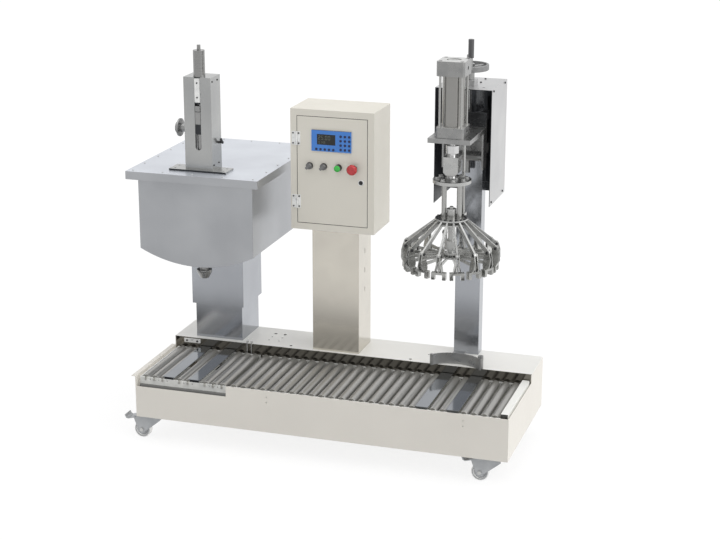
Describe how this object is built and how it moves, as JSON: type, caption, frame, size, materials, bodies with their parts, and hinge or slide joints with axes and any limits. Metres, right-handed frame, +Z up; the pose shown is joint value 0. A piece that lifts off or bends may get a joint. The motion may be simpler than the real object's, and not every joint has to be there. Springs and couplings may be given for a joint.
{
  "type": "pail filling machine",
  "caption": "Semi-automatic pail filler: roller bed with scale, hooded filling nozzle, control cabinet and a press whose crown of claws closes the lids.",
  "frame": {"origin": "on the floor, under the middle of the machine's bounding box", "axes": "+X along the roller bed from the filling side to the pressing side, +Y from the operator to the columns, +Z up"},
  "size_m": [1.747, 0.9204, 1.749],
  "materials": {
    "chassis_paint": "smooth satin paint",
    "deck_paint": "smooth satin paint",
    "cell_metal": "machined",
    "rail_steel": "brushed along the bed",
    "plate_steel": "brushed",
    "roller_steel": "turned, lightly worn",
    "caster_steel": "zinc plated",
    "caster_tread": "moulded",
    "post_steel": "brushed upright",
    "hood_steel": "brushed, satin",
    "lid_steel": "brushed, satin",
    "stand_steel": "brushed upright",
    "lift_metal": "anodised",
    "carriage_metal": "machined",
    "pipe_steel": "polished",
    "cabinet_paint": "fine textured paint",
    "panel_blue": "printed film",
    "switch_black": "moulded",
    "start_green": "moulded",
    "stop_red": "moulded",
    "controller_metal": "galvanised and painted",
    "press_steel": "machined",
    "cover_steel": "brushed",
    "cylinder_metal": "anodised",
    "rod_chrome": "polished",
    "crown_steel": "polished",
    "claw_steel": "polished",
    "handwheel_steel": "polished",
    "locator_steel": "brushed"
  },
  "bodies": {
    "frame": {"base_shell": "chassis_paint", "rear_deck": "deck_paint", "scale_base": "cell_metal", "scale_frame": "rail_steel", "bed_rails": "rail_steel", "bed_plates": "plate_steel", "end_stop": "rail_steel", "rollers": "roller_steel", "caster_plates": "caster_steel", "fill_post": "post_steel", "control_column": "post_steel", "cabinet_box": "cabinet_paint", "controller_plate": "controller_metal", "press_column": "post_steel", "press_cover": "cover_steel", "pail_locator": "locator_steel"},
    "caster_fl": {"caster_fork_fl": "caster_steel"},
    "wheel_fl": {"caster_wheel_fl": "caster_tread"},
    "caster_fr": {"caster_fork_fr": "caster_steel"},
    "wheel_fr": {"caster_wheel_fr": "caster_tread"},
    "caster_rl": {"caster_fork_rl": "caster_steel"},
    "wheel_rl": {"caster_wheel_rl": "caster_tread"},
    "caster_rr": {"caster_fork_rr": "caster_steel"},
    "wheel_rr": {"caster_wheel_rr": "caster_tread"},
    "fill_head": {"fill_sleeve": "post_steel", "hood_shell": "hood_steel", "hood_lid": "lid_steel", "nozzle_stand": "stand_steel", "lift_cylinder": "lift_metal"},
    "nozzle": {"nozzle_carriage": "carriage_metal", "fill_pipe": "pipe_steel"},
    "door": {"cabinet_door": "cabinet_paint", "display_panel": "panel_blue"},
    "selector_a": {"selector_left": "switch_black"},
    "selector_b": {"selector_right": "switch_black"},
    "start": {"start_button": "start_green"},
    "stop": {"stop_button": "stop_red"},
    "lock": {"door_lock": "switch_black"},
    "press_head": {"press_carriage": "press_steel", "press_cylinder": "cylinder_metal"},
    "hand_crank": {"handwheel": "handwheel_steel"},
    "crown": {"press_rod": "rod_chrome", "crown_frame": "crown_steel"},
    "plunger": {"crown_plunger": "rod_chrome"},
    "claw_01_body": {"claw_01": "claw_steel"},
    "claw_02_body": {"claw_02": "claw_steel"},
    "claw_03_body": {"claw_03": "claw_steel"},
    "claw_04_body": {"claw_04": "claw_steel"},
    "claw_05_body": {"claw_05": "claw_steel"},
    "claw_06_body": {"claw_06": "claw_steel"},
    "claw_07_body": {"claw_07": "claw_steel"},
    "claw_08_body": {"claw_08": "claw_steel"},
    "claw_09_body": {"claw_09": "claw_steel"},
    "claw_10_body": {"claw_10": "claw_steel"},
    "claw_11_body": {"claw_11": "claw_steel"},
    "claw_12_body": {"claw_12": "claw_steel"},
    "claw_13_body": {"claw_13": "claw_steel"},
    "claw_14_body": {"claw_14": "claw_steel"},
    "claw_15_body": {"claw_15": "claw_steel"},
    "claw_16_body": {"claw_16": "claw_steel"}
  },
  "joints": [
    {"name": "caster_swivel_fl", "type": "hinge", "parent": "frame", "child": "caster_fl", "pos_m": [-0.7295, -0.41225, 0.1], "axis": [0, 0, 1], "continuous": true},
    {"name": "wheel_spin_fl", "type": "hinge", "parent": "caster_fl", "child": "wheel_fl", "pos_m": [-0.7675, -0.41225, 0.0375], "axis": [0, 1, 0], "continuous": true},
    {"name": "caster_swivel_fr", "type": "hinge", "parent": "frame", "child": "caster_fr", "pos_m": [0.7885, -0.41225, 0.1], "axis": [0, 0, 1], "continuous": true},
    {"name": "wheel_spin_fr", "type": "hinge", "parent": "caster_fr", "child": "wheel_fr", "pos_m": [0.7505, -0.41225, 0.0375], "axis": [0, 1, 0], "continuous": true},
    {"name": "caster_swivel_rl", "type": "hinge", "parent": "frame", "child": "caster_rl", "pos_m": [-0.7295, 0.16175, 0.1], "axis": [0, 0, 1], "continuous": true},
    {"name": "wheel_spin_rl", "type": "hinge", "parent": "caster_rl", "child": "wheel_rl", "pos_m": [-0.7675, 0.16175, 0.0375], "axis": [0, 1, 0], "continuous": true},
    {"name": "caster_swivel_rr", "type": "hinge", "parent": "frame", "child": "caster_rr", "pos_m": [0.7885, 0.16175, 0.1], "axis": [0, 0, 1], "continuous": true},
    {"name": "wheel_spin_rr", "type": "hinge", "parent": "caster_rr", "child": "wheel_rr", "pos_m": [0.7505, 0.16175, 0.0375], "axis": [0, 1, 0], "continuous": true},
    {"name": "head_height", "type": "slide", "parent": "frame", "child": "fill_head", "axis": [0, 0, 1], "range_m": [-0.12, 0.15]},
    {"name": "nozzle_stroke", "type": "slide", "parent": "fill_head", "child": "nozzle", "axis": [0, 0, -1], "range_m": [0, 0.1]},
    {"name": "door_hinge", "type": "hinge", "parent": "frame", "child": "door", "pos_m": [-0.1715, -0.05525, 1.165], "axis": [0, 0, -1], "range_deg": [0, 95]},
    {"name": "selector_left_turn", "type": "hinge", "parent": "door", "child": "selector_a", "pos_m": [-0.114, -0.06025, 1.185], "axis": [0, 1, 0], "range_deg": [-90, 0]},
    {"name": "selector_right_turn", "type": "hinge", "parent": "door", "child": "selector_b", "pos_m": [-0.051, -0.06025, 1.185], "axis": [0, 1, 0], "range_deg": [-90, 0]},
    {"name": "start_press", "type": "slide", "parent": "door", "child": "start", "axis": [0, 1, 0], "range_m": [0, 0.004], "stiffness_N_per_m": 400, "springref_m": -0.002},
    {"name": "stop_press", "type": "slide", "parent": "door", "child": "stop", "axis": [0, 1, 0], "range_m": [0, 0.005], "stiffness_N_per_m": 500, "springref_m": -0.002},
    {"name": "lock_turn", "type": "hinge", "parent": "door", "child": "lock", "pos_m": [0.116, -0.05025, 1.126], "axis": [0, -1, 0], "range_deg": [0, 90]},
    {"name": "press_height", "type": "slide", "parent": "frame", "child": "press_head", "axis": [0, 0, 1], "range_m": [-0.1, 0.08]},
    {"name": "handwheel_turn", "type": "hinge", "parent": "frame", "child": "hand_crank", "pos_m": [0.5415, 0.09975, 1.61], "axis": [0, 0, 1], "range_deg": [-3610, 2890]},
    {"name": "crown_stroke", "type": "slide", "parent": "press_head", "child": "crown", "axis": [0, 0, -1], "range_m": [0, 0.15]},
    {"name": "plunger_lift", "type": "slide", "parent": "crown", "child": "plunger", "axis": [0, 0, 1], "range_m": [0, 0.018]},
    {"name": "claw_01_swing", "type": "hinge", "parent": "crown", "child": "claw_01_body", "pos_m": [0.5415, -0.34725, 0.922], "axis": [1, 0, 0], "range_deg": [0, 6.2]},
    {"name": "claw_02_swing", "type": "hinge", "parent": "crown", "child": "claw_02_body", "pos_m": [0.61421, -0.33279, 0.922], "axis": [0.9239, 0.3827, 0], "range_deg": [0, 6.2]},
    {"name": "claw_03_swing", "type": "hinge", "parent": "crown", "child": "claw_03_body", "pos_m": [0.67585, -0.2916, 0.922], "axis": [0.7071, 0.7071, 0], "range_deg": [0, 6.2]},
    {"name": "claw_04_swing", "type": "hinge", "parent": "crown", "child": "claw_04_body", "pos_m": [0.71704, -0.22996, 0.922], "axis": [0.3827, 0.9239, 0], "range_deg": [0, 6.2]},
    {"name": "claw_05_swing", "type": "hinge", "parent": "crown", "child": "claw_05_body", "pos_m": [0.7315, -0.15725, 0.922], "axis": [0, 1, 0], "range_deg": [0, 6.2]},
    {"name": "claw_06_swing", "type": "hinge", "parent": "crown", "child": "claw_06_body", "pos_m": [0.71704, -0.08454, 0.922], "axis": [-0.3827, 0.9239, 0], "range_deg": [0, 6.2]},
    {"name": "claw_07_swing", "type": "hinge", "parent": "crown", "child": "claw_07_body", "pos_m": [0.67585, -0.0229, 0.922], "axis": [-0.7071, 0.7071, 0], "range_deg": [0, 6.2]},
    {"name": "claw_08_swing", "type": "hinge", "parent": "crown", "child": "claw_08_body", "pos_m": [0.61421, 0.01829, 0.922], "axis": [-0.9239, 0.3827, 0], "range_deg": [0, 6.2]},
    {"name": "claw_09_swing", "type": "hinge", "parent": "crown", "child": "claw_09_body", "pos_m": [0.5415, 0.03275, 0.922], "axis": [-1, 0, 0], "range_deg": [0, 6.2]},
    {"name": "claw_10_swing", "type": "hinge", "parent": "crown", "child": "claw_10_body", "pos_m": [0.46879, 0.01829, 0.922], "axis": [-0.9239, -0.3827, 0], "range_deg": [0, 6.2]},
    {"name": "claw_11_swing", "type": "hinge", "parent": "crown", "child": "claw_11_body", "pos_m": [0.40715, -0.0229, 0.922], "axis": [-0.7071, -0.7071, 0], "range_deg": [0, 6.2]},
    {"name": "claw_12_swing", "type": "hinge", "parent": "crown", "child": "claw_12_body", "pos_m": [0.36596, -0.08454, 0.922], "axis": [-0.3827, -0.9239, 0], "range_deg": [0, 6.2]},
    {"name": "claw_13_swing", "type": "hinge", "parent": "crown", "child": "claw_13_body", "pos_m": [0.3515, -0.15725, 0.922], "axis": [0, -1, 0], "range_deg": [0, 6.2]},
    {"name": "claw_14_swing", "type": "hinge", "parent": "crown", "child": "claw_14_body", "pos_m": [0.36596, -0.22996, 0.922], "axis": [0.3827, -0.9239, 0], "range_deg": [0, 6.2]},
    {"name": "claw_15_swing", "type": "hinge", "parent": "crown", "child": "claw_15_body", "pos_m": [0.40715, -0.2916, 0.922], "axis": [0.7071, -0.7071, 0], "range_deg": [0, 6.2]},
    {"name": "claw_16_swing", "type": "hinge", "parent": "crown", "child": "claw_16_body", "pos_m": [0.46879, -0.33279, 0.922], "axis": [0.9239, -0.3827, 0], "range_deg": [0, 6.2]}
  ],
  "couplings": [
    {"joint": "handwheel_turn", "follows": "press_height", "rad_per_m": 628.3},
    {"joint": "claw_01_swing", "follows": "plunger_lift", "rad_per_m": 5.98},
    {"joint": "claw_02_swing", "follows": "plunger_lift", "rad_per_m": 5.98},
    {"joint": "claw_03_swing", "follows": "plunger_lift", "rad_per_m": 5.98},
    {"joint": "claw_04_swing", "follows": "plunger_lift", "rad_per_m": 5.98},
    {"joint": "claw_05_swing", "follows": "plunger_lift", "rad_per_m": 5.98},
    {"joint": "claw_06_swing", "follows": "plunger_lift", "rad_per_m": 5.98},
    {"joint": "claw_07_swing", "follows": "plunger_lift", "rad_per_m": 5.98},
    {"joint": "claw_08_swing", "follows": "plunger_lift", "rad_per_m": 5.98},
    {"joint": "claw_09_swing", "follows": "plunger_lift", "rad_per_m": 5.98},
    {"joint": "claw_10_swing", "follows": "plunger_lift", "rad_per_m": 5.98},
    {"joint": "claw_11_swing", "follows": "plunger_lift", "rad_per_m": 5.98},
    {"joint": "claw_12_swing", "follows": "plunger_lift", "rad_per_m": 5.98},
    {"joint": "claw_13_swing", "follows": "plunger_lift", "rad_per_m": 5.98},
    {"joint": "claw_14_swing", "follows": "plunger_lift", "rad_per_m": 5.98},
    {"joint": "claw_15_swing", "follows": "plunger_lift", "rad_per_m": 5.98},
    {"joint": "claw_16_swing", "follows": "plunger_lift", "rad_per_m": 5.98}
  ]
}
